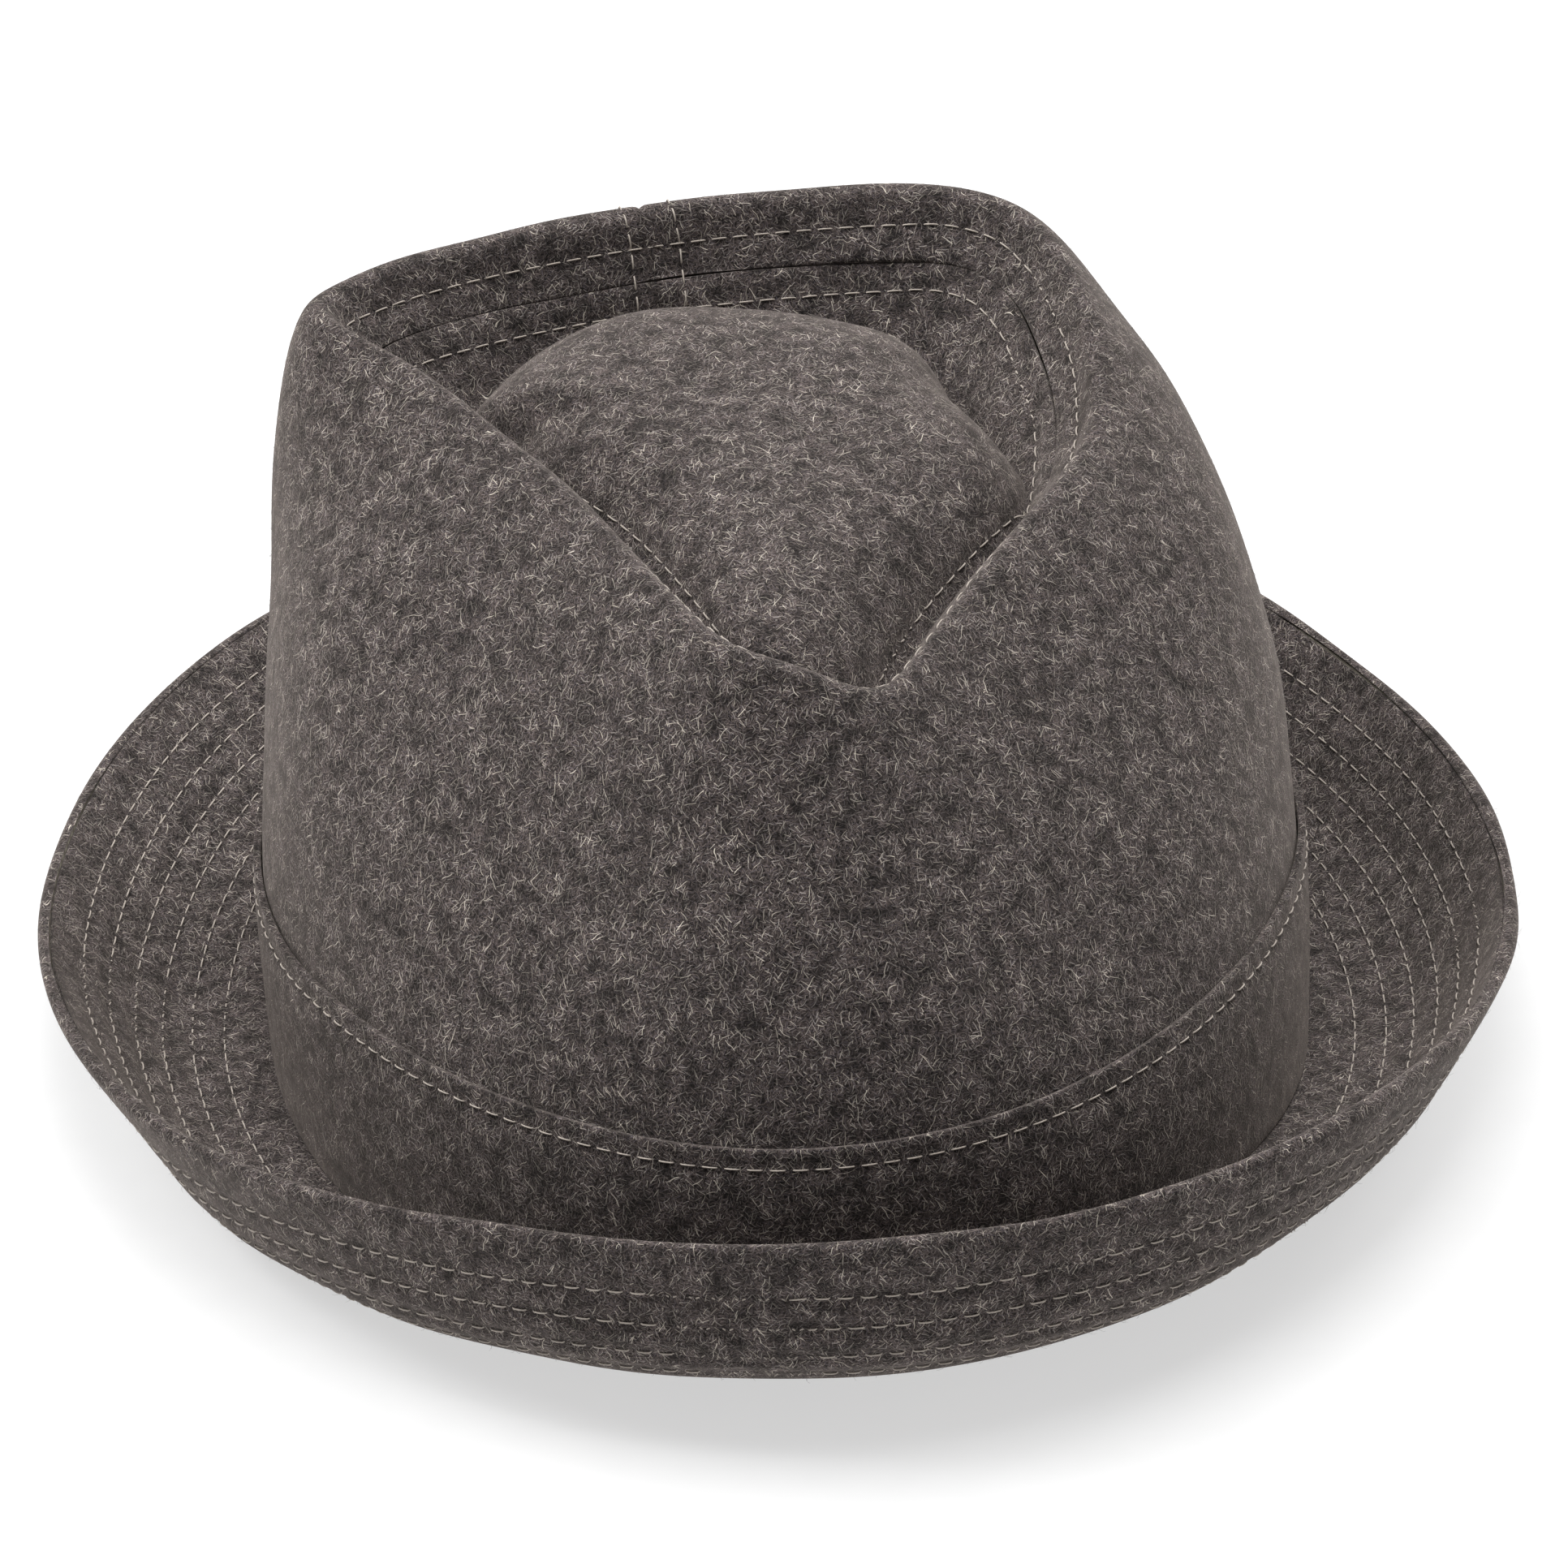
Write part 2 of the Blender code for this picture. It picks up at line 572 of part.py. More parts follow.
def care_label(finish):
    """A blank satin label that hangs from its top edge against the sweatband and flips up."""
    top = SWEATBAND_HEIGHT - LABEL_BELOW_TOP
    back = PLACES // 2
    behind = []
    for height in (top, top - LABEL_HEIGHT):
        ring = crown_ring(wall_place(height), CROWN_STACK)
        left = ring[back : back // 2 : -1]
        behind.append(np.interp(LABEL_WIDTH / 2, left[:, 0], left[:, 1]))
    hinge_height = crown_ring(wall_place(top), CROWN_STACK)[back, 2]
    pivot = bpy.data.objects.new("care_label_hinge", None)
    pivot.location = (0, min(behind) - GAP - LABEL_THICKNESS / 2, hinge_height)
    bpy.context.scene.collection.objects.link(pivot)
    bm = bmesh.new()
    bmesh.ops.create_cube(bm, size=1)
    bmesh.ops.scale(bm, vec=(LABEL_WIDTH, LABEL_THICKNESS, LABEL_HEIGHT), verts=bm.verts)
    bmesh.ops.translate(bm, vec=(0, 0, -LABEL_HEIGHT / 2), verts=bm.verts)
    label = add_object("care_label", bm, finish)
    label.parent = pivot


def centre_on_origin():
    """Moves the hat sideways, so that the middle of its brim's outline stands over the origin."""
    outline = np.array([vertex.co for vertex in bpy.data.objects["brim_under"].data.vertices])
    middle = (outline.min(0) + outline.max(0)) / 2
    for thing in bpy.data.objects:
        if thing.parent is None:
            thing.location.x -= middle[0]
            thing.location.y -= middle[1]


clear_scene()
wool_cloth = material("charcoal_melange_wool", (0.058, 0.055, 0.054), 0.95)
canvas_cloth = material("stiff_canvas", (0.50, 0.47, 0.42), 0.90)
twill_cloth = material("black_cotton_twill", (0.020, 0.020, 0.022), 0.75)
foam_strip = material("white_foam", (0.70, 0.69, 0.66), 0.95)
satin_cloth = material("charcoal_satin_lining", (0.030, 0.030, 0.034), 0.40)
piping_cord = material("black_piping", (0.015, 0.015, 0.016), 0.55)
grey_thread = material("grey_taupe_thread", (0.22, 0.20, 0.18), 0.70)
label_satin = material("white_label_satin", (0.72, 0.72, 0.70), 0.45)

crown_side(wool_cloth)
crown_tip(wool_cloth)
crown_interlinings(canvas_cloth)
hatband(wool_cloth)
brim(wool_cloth, canvas_cloth)
sweatband(twill_cloth, foam_strip)
lining(satin_cloth, piping_cord)
crown_stitching(grey_thread)
brim_stitching(grey_thread)
care_label(label_satin)
centre_on_origin()
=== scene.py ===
"""A short-brimmed men's hat, cut and sewn from charcoal melange wool, finished for show.

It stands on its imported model, piece by piece in the order that a hatter sews it: brim, crown, band, inside
and stitching, and last the loose nap of the cloth. Metres, +Z up, front towards -Y.
"""

import json
import math

import bpy
import numpy as np
from mathutils import Matrix, Vector
from mathutils.bvhtree import BVHTree
from mathutils.kdtree import KDTree

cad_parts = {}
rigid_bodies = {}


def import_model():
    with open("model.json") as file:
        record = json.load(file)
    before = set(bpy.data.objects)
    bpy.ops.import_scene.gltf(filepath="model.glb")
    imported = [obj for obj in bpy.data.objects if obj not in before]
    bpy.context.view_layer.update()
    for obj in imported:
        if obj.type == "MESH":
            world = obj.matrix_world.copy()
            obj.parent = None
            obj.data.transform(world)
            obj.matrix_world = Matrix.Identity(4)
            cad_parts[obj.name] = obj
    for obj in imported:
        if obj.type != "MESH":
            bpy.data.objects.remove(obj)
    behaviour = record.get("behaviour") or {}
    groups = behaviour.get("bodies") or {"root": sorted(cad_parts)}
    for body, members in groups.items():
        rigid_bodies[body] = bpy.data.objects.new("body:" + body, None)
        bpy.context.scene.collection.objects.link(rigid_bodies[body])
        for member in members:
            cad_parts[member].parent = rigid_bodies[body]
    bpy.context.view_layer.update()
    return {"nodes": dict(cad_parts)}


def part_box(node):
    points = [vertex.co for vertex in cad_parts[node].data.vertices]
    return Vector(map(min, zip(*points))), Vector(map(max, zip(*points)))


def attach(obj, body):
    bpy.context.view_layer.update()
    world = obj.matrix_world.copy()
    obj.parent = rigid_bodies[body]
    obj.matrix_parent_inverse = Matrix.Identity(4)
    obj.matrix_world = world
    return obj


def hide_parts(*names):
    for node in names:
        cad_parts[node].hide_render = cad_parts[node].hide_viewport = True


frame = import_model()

MM = 0.001


# Camera. A long lens, so that the brim hardly narrows with distance. It looks down on the front from a little
# to the wearer's right, and leans slightly.
CAMERA_TURN = math.radians(-12.09)
CAMERA_RISE = math.radians(31.52)
CAMERA_LEAN = math.radians(-3.49)
CAMERA_DISTANCE = 1.3
CAMERA_AIM = Vector((0.0014, -0.0100, 0.0492))
CAMERA_LENS = 175.2

bpy.ops.object.camera_add()
camera = bpy.context.object
camera.name = "front_camera"
camera.data.lens = CAMERA_LENS
towards_camera = Vector(
    (
        math.sin(CAMERA_TURN) * math.cos(CAMERA_RISE),
        -math.cos(CAMERA_TURN) * math.cos(CAMERA_RISE),
        math.sin(CAMERA_RISE),
    )
)
camera.matrix_world = (
    Matrix.Translation(CAMERA_AIM + towards_camera * CAMERA_DISTANCE)
    @ towards_camera.to_track_quat("Z", "Y").to_matrix().to_4x4()
    @ Matrix.Rotation(CAMERA_LEAN, 4, "Z")
)
bpy.context.scene.camera = camera


# Studio. A white light table under a white sky, with soft lamps behind the hat on both sides and above it, so
# that the top and the flanks are light, the front falls into soft shade, and its shadow stays pale.
def linear(hex_colour):
    """An sRGB colour such as #3a3532 as linear red, green, blue and alpha."""
    shares = [int(hex_colour[k : k + 2], 16) / 255 for k in (1, 3, 5)]
    return (*(s / 12.92 if s <= 0.04045 else ((s + 0.055) / 1.055) ** 2.4 for s in shares), 1)


def add_node(material, kind, inputs=(), **settings):
    """A node with its settings. An input takes a value, or the output socket that it is linked to."""
    made = material.node_tree.nodes.new("ShaderNode" + kind)
    for name, value in settings.items():
        setattr(made, name, value)
    for name, value in dict(inputs).items():
        if isinstance(value, bpy.types.NodeSocket):
            material.node_tree.links.new(value, made.inputs[name])
        else:
            made.inputs[name].default_value = value
    return made


def deselect():
    for thing in bpy.context.view_layer.objects:
        thing.select_set(False)


bpy.context.scene.view_settings.view_transform = "Standard"
sky = bpy.data.worlds.new("white_sky")
sky.use_nodes = True
sky.node_tree.nodes["Background"].inputs["Color"].default_value = linear("#ffffff")
sky.node_tree.nodes["Background"].inputs["Strength"].default_value = 0.30
bpy.context.scene.world = sky

deselect()
bpy.ops.mesh.primitive_plane_add(size=8)
floor = bpy.context.object
floor.name = "floor"
table_top = bpy.data.materials.new("matt_white_light_table")
table_top.use_nodes = True
paint = table_top.node_tree.nodes["Principled BSDF"]
grain = add_node(table_top, "TexNoise", {"Scale": 900.0})
tone = add_node(
    table_top,
    "Mix",
    {"Factor": grain.outputs["Fac"], "A": linear("#9b9b9b"), "B": linear("#a1a1a1")},
    data_type="RGBA",
)
table_top.node_tree.links.new(tone.outputs["Result"], paint.inputs["Base Color"])
paint.inputs["Roughness"].default_value = 0.8
paint.inputs["Emission Color"].default_value = linear("#ffffff")
paint.inputs["Emission Strength"].default_value = 0.58
floor.data.materials.append(table_top)


def add_softbox(name, place, size, power):
    """A square lamp at a place, turned to face the hat."""
    bpy.ops.object.light_add(type="AREA", location=place)
    lamp = bpy.context.object
    lamp.name = name
    lamp.data.size = size
    lamp.data.energy = power
    lamp.rotation_euler = Vector(place).to_track_quat("Z", "Y").to_euler()


add_softbox("key_softbox", (-1.5, 0.9, 1.9), 1.2, 50)
add_softbox("right_softbox", (1.6, 1.0, 1.5), 1.2, 32)
add_softbox("top_softbox", (0.1, 0.1, 2.3), 1.4, 46)


# Brim. Two rings of wool cloth with canvas between them, sewn together in parallel rows that stiffen it. The
# under cloth is turned over the edge to meet the upper one. All the hat's wool is one melange flannel.
CUT_EDGE_ANGLE = math.radians(70)
CUT_EDGE_CREASE = 0.75
MERGE_DISTANCE = 0.02 * MM
LINE_SPACING = 0.5 * MM
WAVE_COUNT = 14
WAVE_SUM = 3.7


def cloth_copy(node, name, smoothing):
    """A cloth piece from its CAD solid: loose triangles merged, paired into quads, and smoothed."""
    deselect()
    piece = bpy.data.objects.new(name, frame["nodes"][node].data.copy())
    bpy.context.scene.collection.objects.link(piece)
    piece.data.materials.clear()
    bpy.context.view_layer.objects.active = piece
    piece.select_set(True)
    bpy.ops.object.mode_set(mode="EDIT")
    bpy.ops.mesh.select_all(action="SELECT")
    bpy.ops.mesh.remove_doubles(threshold=MERGE_DISTANCE)
    bpy.ops.mesh.tris_convert_to_quads(face_threshold=math.pi, shape_threshold=math.pi)
    bpy.ops.mesh.normals_make_consistent(inside=False)
    bpy.ops.mesh.select_mode(type="EDGE")
    bpy.ops.mesh.select_all(action="DESELECT")
    bpy.ops.mesh.edges_select_sharp(sharpness=CUT_EDGE_ANGLE)
    bpy.ops.transform.edge_crease(value=CUT_EDGE_CREASE)
    bpy.ops.object.mode_set(mode="OBJECT")
    smooth = piece.modifiers.new("smooth", "SUBSURF")
    smooth.levels = smooth.render_levels = smoothing
    bpy.ops.object.modifier_apply(modifier=smooth.name)
    bpy.ops.object.shade_smooth()
    return piece


def finish_piece(piece, node, body="hat"):
    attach(piece, body)
    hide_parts(node)


def positions(piece):
    flat = np.empty(len(piece.data.vertices) * 3, np.float32)
    piece.data.vertices.foreach_get("co", flat)
    return flat.reshape(-1, 3).astype(float)


def normals(piece):
    flat = np.empty(len(piece.data.vertices) * 3, np.float32)
    piece.data.vertex_normals.foreach_get("vector", flat)
    return flat.reshape(-1, 3).astype(float)


def move(piece, points):
    piece.data.vertices.foreach_set("co", points.astype(np.float32).ravel())
    piece.data.update()


def smooth_line(knots, spacing, closed):
    """Points a spacing apart on a smooth curve through the knots."""
    if closed:
        knots = np.vstack([knots[-1:], knots, knots[:2]])
    else:
        knots = np.vstack([2 * knots[0] - knots[1], knots, 2 * knots[-1] - knots[-2]])
    before, start, end, beyond = knots[:-3], knots[1:-2], knots[2:-1], knots[3:]
    fine = []
    for t in np.arange(0, 1, 0.05):
        bend = (2 * before - 5 * start + 4 * end - beyond) * t**2
        bend += (3 * start - before - 3 * end + beyond) * t**3
        fine.append(start + ((end - before) * t + bend) / 2)
    fine = np.vstack([np.array(fine).transpose(1, 0, 2).reshape(-1, 3), end[-1:]])
    along = np.concatenate([[0], np.cumsum(np.linalg.norm(np.diff(fine, axis=0), axis=1))])
    count = max(round(along[-1] / spacing), 3)
    stops = np.arange(count + (not closed)) * along[-1] / count
    return np.stack([np.interp(stops, along, fine[:, k]) for k in range(3)], -1)


def corners_of(node):
    return np.unique(np.round([v.co for v in frame["nodes"][node].data.vertices], 6), axis=0)


def thread_line(node, spacing=LINE_SPACING):
    """The middle of a CAD thread that runs round the hat, as points a spacing apart."""
    corners = corners_of(node)
    middle = corners.mean(0)
    order = np.argsort(np.arctan2(corners[:, 1] - middle[1], corners[:, 0] - middle[0]))
    return smooth_line(corners[order].reshape(-1, 3, 3).mean(1), spacing, True)


def surface(piece):
    return BVHTree.FromPolygons(positions(piece).tolist(), [tuple(f.vertices) for f in piece.data.polygons])


def laid_on(line, *trees):
    """The line moved onto the nearest cloth's face, and that cloth's normals along it."""
    found = [min((tree.find_nearest(Vector(p)) for tree in trees), key=lambda hit: hit[3]) for p in line]
    return np.array([hit[0] for hit in found]), np.array([hit[1] for hit in found])


def press(piece, lines, width, depth):
    """Sinks the cloth's face along lines of stitching or a seam, as thread drawn tight does."""
    points = np.vstack(lines)
    tree = KDTree(len(points))
    for number, point in enumerate(points):
        tree.insert(point, number)
    tree.balance()
    at = positions(piece)
    away = np.array([tree.find(point)[2] for point in at])
    move(piece, at - normals(piece) * (depth * np.exp(-((away / width) ** 2)))[:, None])


def ruffle(piece, size, height, seed):
    """Slow waves in the cloth, as hand shaping leaves: many small ones that seldom add up past the height."""
    draw = np.random.default_rng(seed)
    at = positions(piece)
    waves = np.zeros(len(at))
    for _ in range(WAVE_COUNT):
        heading = draw.normal(size=3)
        heading *= 2 * math.pi / (size * draw.uniform(0.7, 1.6) * np.linalg.norm(heading))
        waves += np.sin(at @ heading + draw.uniform(0, 2 * math.pi))
    move(piece, at + normals(piece) * (height / WAVE_SUM * waves)[:, None])


# Melange wool flannel, milled and raised. Near-black fibres make the ground, and undyed cream, grey and brown
# ones a millimetre or two long lie over it every way. The eye sees a matt, speckled charcoal, with a soft
# bloom at grazing angles. Sizes are in millimetres, except for how far a curl bends a fibre.
GROUND_DARK, GROUND_LIGHT = "#110d0d", "#4d4543"
FIBRES = (
    # length and thickness in millimetres, share of the places filled, colour and strength
    (0.75, 0.070, 0.80, "#615a60", 0.75),
    (0.6, 0.070, 0.70, "#7e736e", 0.80),
    (0.9, 0.080, 0.45, "#a19a94", 0.90),
    (1.2, 0.075, 0.28, "#beb5a8", 0.88),
    (1.7, 0.075, 0.10, "#ddd4c6", 0.88),
)
KNOT_SIZE = 0.45
MOTTLE_SIZE = 3.2
CURL_SIZE = 1.6
FIBRE_CURL = 0.7 * MM
SCATTER_SHIFT = 0.31


def wool_flannel(name):
    made = bpy.data.materials.new(name)
    made.use_nodes = True
    shader = made.node_tree.nodes["Principled BSDF"]
    where = add_node(made, "TexCoord")
    place, facing = where.outputs["Object"], where.outputs["Normal"]
    knots = add_node(made, "TexNoise", {"Vector": place, "Scale": 1000 / KNOT_SIZE, "Detail": 3.0})
    spread = add_node(
        made, "MapRange", {"Value": knots.outputs["Fac"], "From Min": 0.36, "From Max": 0.64}
    )
    mottle = add_node(made, "TexNoise", {"Vector": place, "Scale": 1000 / MOTTLE_SIZE, "Detail": 4.0})
    shade = add_node(
        made,
        "MapRange",
        {"Value": mottle.outputs["Fac"], "From Min": 0.3, "From Max": 0.7, "To Min": 0.28, "To Max": 1.42},
    )
    ground = add_node(
        made,
        "Mix",
        {"Factor": spread.outputs["Result"], "A": linear(GROUND_DARK), "B": linear(GROUND_LIGHT)},
        data_type="RGBA",
    ).outputs["Result"]
    curl = add_node(made, "TexNoise", {"Vector": place, "Scale": 1000 / CURL_SIZE, "Detail": 0.0})
    centred = add_node(
        made, "VectorMath", {0: curl.outputs["Color"], 1: (0.5, 0.5, 0.5)}, operation="SUBTRACT"
    )
    height = knots.outputs["Fac"]
    for number, (length, thickness, share, colour, strength) in enumerate(FIBRES):
        # Each cell of a scatter holds one fibre: a thin line through the cell, at its own random heading.
        # The scatters are shifted apart, so that their cells don't share corners.
        bent = add_node(
            made,
            "VectorMath",
            {0: centred.outputs["Vector"], 1: (FIBRE_CURL,) * 3, 2: place},
            operation="MULTIPLY_ADD",
        )
        moved = add_node(made, "VectorMath", {0: bent.outputs["Vector"], 1: (SCATTER_SHIFT * number,) * 3})
        cell = add_node(made, "TexVoronoi", {"Vector": moved.outputs["Vector"], "Scale": 1000 / length})
        heading = add_node(
            made, "VectorMath", {0: cell.outputs["Color"], 1: (0.5, 0.5, 0.5)}, operation="SUBTRACT"
        )
        sideways = add_node(
            made, "VectorMath", {0: heading.outputs["Vector"], 1: facing}, operation="CROSS_PRODUCT"
        )
        unit = add_node(made, "VectorMath", {0: sideways.outputs["Vector"]}, operation="NORMALIZE")
        offset = add_node(
            made,
            "VectorMath",
            {0: moved.outputs["Vector"], 1: cell.outputs["Position"]},
            operation="SUBTRACT",
        )
        across = add_node(
            made,
            "VectorMath",
            {0: offset.outputs["Vector"], 1: unit.outputs["Vector"]},
            operation="DOT_PRODUCT",
        )
        distance = add_node(made, "Math", {0: across.outputs["Value"]}, operation="ABSOLUTE")
        line = add_node(
            made,
            "MapRange",
            {
                "Value": distance.outputs["Value"],
                "From Min": 0.3 * thickness * MM,
                "From Max": 0.9 * thickness * MM,
                "To Min": strength,
                "To Max": 0.0,
            },
        )
        dice = add_node(made, "SeparateColor", {"Color": cell.outputs["Color"]})
        chosen = add_node(made, "Math", {0: dice.outputs["Blue"], 1: share}, operation="LESS_THAN")
        shown = add_node(
            made, "Math", {0: line.outputs["Result"], 1: chosen.outputs["Value"]}, operation="MULTIPLY"
        )
        ground = add_node(
            made,
            "Mix",
            {"Factor": shown.outputs["Value"], "A": ground, "B": linear(colour)},
            data_type="RGBA",
        ).outputs["Result"]
        raised = add_node(made, "Math", {0: height, 1: shown.outputs["Value"]}, operation="ADD")
        height = raised.outputs["Value"]
    toned = add_node(made, "VectorMath", {0: ground, "Scale": shade.outputs["Result"]}, operation="SCALE")
    made.node_tree.links.new(toned.outputs["Vector"], shader.inputs["Base Color"])
    relief = add_node(made, "Bump", {"Height": height, "Strength": 0.55, "Distance": 0.25 * MM})
    made.node_tree.links.new(relief.outputs["Normal"], shader.inputs["Normal"])
    shader.inputs["Roughness"].default_value = 0.95
    shader.inputs["Specular IOR Level"].default_value = 0.2
    shader.inputs["Sheen Weight"].default_value = 0.35
    shader.inputs["Sheen Roughness"].default_value = 0.45
    shader.inputs["Sheen Tint"].default_value = linear("#cdc0b6")
    return made


wool = wool_flannel("charcoal_melange_wool_flannel")

TABLE_CLEAR = 0.1 * MM
QUILT_WIDTH, QUILT_DEPTH = 1.5 * MM, 0.42 * MM
UNDER_OFFSET = 3.9 * MM
BRIM_SEED = 11
brim_rows = [thread_line(f"brim_topstitching_{number}") for number in range(1, 7)]

brim_under = cloth_copy("brim_under", "brim_under_cloth", 3)
brim_upper = cloth_copy("brim_upper", "brim_upper_cloth", 3)
upper_tree, under_tree = surface(brim_upper), surface(brim_under)
upper_rows, under_rows = [], []
for row in brim_rows:
    face, out = laid_on(row, upper_tree)
    upper_rows.append(face)
    under_rows.append(laid_on(face - out * UNDER_OFFSET, under_tree)[0])
press(brim_upper, upper_rows, QUILT_WIDTH, QUILT_DEPTH)
press(brim_under, under_rows, QUILT_WIDTH, QUILT_DEPTH)
for piece, node in ((brim_under, "brim_under"), (brim_upper, "brim_upper")):
    ruffle(piece, size=45 * MM, height=0.25 * MM, seed=BRIM_SEED)
    rested = positions(piece)
    rested[:, 2] = np.maximum(rested[:, 2], TABLE_CLEAR)
    move(piece, rested)
    piece.data.materials.append(wool)
    finish_piece(piece, node)

# Buckram: an open plain weave of cotton, stiffened with size, so that it looks like pale dry sacking.
# Pitches are in millimetres, and a wave texture at this scale has bands a millimetre apart.
CANVAS_PITCH = 0.9
MILLIMETRE_BANDS = 314
canvas = bpy.data.materials.new("sized_cotton_buckram")
canvas.use_nodes = True
canvas_shader = canvas.node_tree.nodes["Principled BSDF"]
canvas_place = add_node(canvas, "TexCoord").outputs["Object"]
weave = {"Vector": canvas_place, "Scale": MILLIMETRE_BANDS / CANVAS_PITCH}
warp = add_node(canvas, "TexWave", weave, bands_direction="X")
weft = add_node(canvas, "TexWave", weave, bands_direction="Z")
crossing = add_node(canvas, "Math", {0: warp.outputs["Fac"], 1: weft.outputs["Fac"]}, operation="MULTIPLY")
canvas_tone = add_node(
    canvas,
    "Mix",
    {"Factor": crossing.outputs["Value"], "A": linear("#8d8578"), "B": linear("#c3bbaa")},
    data_type="RGBA",
)
canvas.node_tree.links.new(canvas_tone.outputs["Result"], canvas_shader.inputs["Base Color"])
canvas_shader.inputs["Roughness"].default_value = 0.9

brim_canvas = cloth_copy("brim_interlining", "brim_canvas", 2)
brim_canvas.data.materials.append(canvas)
finish_piece(brim_canvas, "brim_interlining")


# Crown. The side is one panel, joined at the centre back and folded over the ridge. The tip is an oval let in
# below the ridge. Both are blocked by hand over canvas, which leaves soft dents and a dome.
SEAM_HALF = 0.6 * MM


def back_seam(piece, depth):
    """The closed seam up the centre back: the cloth dips into a narrow groove where its two ends meet."""
    bpy.context.view_layer.objects.active = piece
    low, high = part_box("care_label")
    middle = (low.x + high.x) / 2
    bpy.ops.object.mode_set(mode="EDIT")
    for aside in (-2, -1, 0, 1, 2):
        bpy.ops.mesh.select_all(action="SELECT")
        bpy.ops.mesh.bisect(plane_co=(middle + aside * SEAM_HALF, 0, 0), plane_no=(1, 0, 0))
    bpy.ops.object.mode_set(mode="OBJECT")
    at, out = positions(piece), normals(piece)
    dip = depth * np.exp(-(((at[:, 0] - middle) / SEAM_HALF) ** 2))
    move(piece, at - out * (dip * (at[:, 1] > 0))[:, None])


def draw_up(piece, tree, reach, share):
    """Draws a cut edge up against the cloth it is sewn to, so that only a dark line shows between them."""
    at = positions(piece)
    for number, point in enumerate(at):
        near, _, _, away = tree.find_nearest(Vector(point), reach)
        if near is not None:
            at[number] += (np.array(near) - point) * share * (1 - (away / reach) ** 2)
    move(piece, at)


crown_side = cloth_copy("crown_side", "crown_side_cloth", 3)
crown_tip = cloth_copy("crown_tip", "crown_tip_cloth", 3)
back_seam(crown_side, depth=0.5 * MM)
ridge_row = laid_on(thread_line("ridge_topstitching"), surface(crown_side))[0]
tip_row = laid_on(thread_line("tip_topstitching"), surface(crown_tip))[0]
press(crown_side, [ridge_row], width=1.4 * MM, depth=0.35 * MM)
press(crown_tip, [tip_row], width=1.4 * MM, depth=0.35 * MM)
ruffle(crown_side, size=38 * MM, height=0.35 * MM, seed=21)
ruffle(crown_tip, size=30 * MM, height=0.3 * MM, seed=22)
draw_up(crown_tip, surface(crown_side), reach=2.0 * MM, share=0.6)
for piece, node in ((crown_side, "crown_side"), (crown_tip, "crown_tip")):
    piece.data.materials.append(wool)
    finish_piece(piece, node)
side_canvas = cloth_copy("crown_side_interlining", "crown_side_canvas", 2)
tip_canvas = cloth_copy("crown_tip_interlining", "crown_tip_canvas", 3)
for piece, node in ((side_canvas, "crown_side_interlining"), (tip_canvas, "crown_tip_interlining")):
    piece.data.materials.append(canvas)
    finish_piece(piece, node)


# Hatband. A strip of the same flannel round the crown's foot, folded in along its top and topstitched there.
# Its ends meet at the centre back, over the crown's own seam.
hatband = cloth_copy("hatband", "hatband_cloth", 3)
band_row = laid_on(thread_line("hatband_topstitching"), surface(hatband))[0]
press(hatband, [band_row], width=1.3 * MM, depth=0.3 * MM)
back_seam(hatband, depth=0.4 * MM)
hatband.data.materials.append(wool)
finish_piece(hatband, "hatband")


# Stitching. Polyester topstitching thread in grey-taupe, nearly three stitches to the centimetre, each drawn
# down into the cloth at its ends. It is paler and smoother than the wool: a row shows as a fine broken line.
THREAD_THICK = 0.30 * MM
STITCH_LENGTH = 3.0 * MM
STITCH_PITCH = 3.7 * MM
STITCH_RISE = 0.27 * MM
STITCH_SINK = 0.30 * MM
STRAND_SIZE = 0.35

thread = bpy.data.materials.new("grey_taupe_polyester_thread")
thread.use_nodes = True
thread_shader = thread.node_tree.nodes["Principled BSDF"]
thread_place = add_node(thread, "TexCoord").outputs["Object"]
strands = add_node(thread, "TexNoise", {"Vector": thread_place, "Scale": 1000 / STRAND_SIZE, "Detail": 2.0})
thread_tone = add_node(
    thread,
    "Mix",
    {"Factor": strands.outputs["Fac"], "A": linear("#857c74"), "B": linear("#c2b8ad")},
    data_type="RGBA",
)
thread.node_tree.links.new(thread_tone.outputs["Result"], thread_shader.inputs["Base Color"])
thread_shader.inputs["Roughness"].default_value = 0.6

deselect()
bpy.ops.mesh.primitive_cylinder_add(
    vertices=6, radius=THREAD_THICK / 2, depth=STITCH_LENGTH, rotation=(0, math.pi / 2, 0)
)
bpy.ops.object.transform_apply(location=True, rotation=True, scale=True)
bpy.ops.object.mode_set(mode="EDIT")
for share in (-0.3, 0, 0.3):
    bpy.ops.mesh.select_all(action="SELECT")
    bpy.ops.mesh.bisect(plane_co=(share * STITCH_LENGTH, 0, 0), plane_no=(1, 0, 0))
bpy.ops.object.mode_set(mode="OBJECT")
stitch = bpy.context.object
stitch_points = positions(stitch)
stitch_faces = [tuple(face.vertices) for face in stitch.data.polygons]
arch = 1 - (2 * stitch_points[:, 0] / STITCH_LENGTH) ** 4
stitch_points[:, 2] += STITCH_RISE * arch - STITCH_SINK * (1 - arch)
bpy.data.objects.remove(stitch)


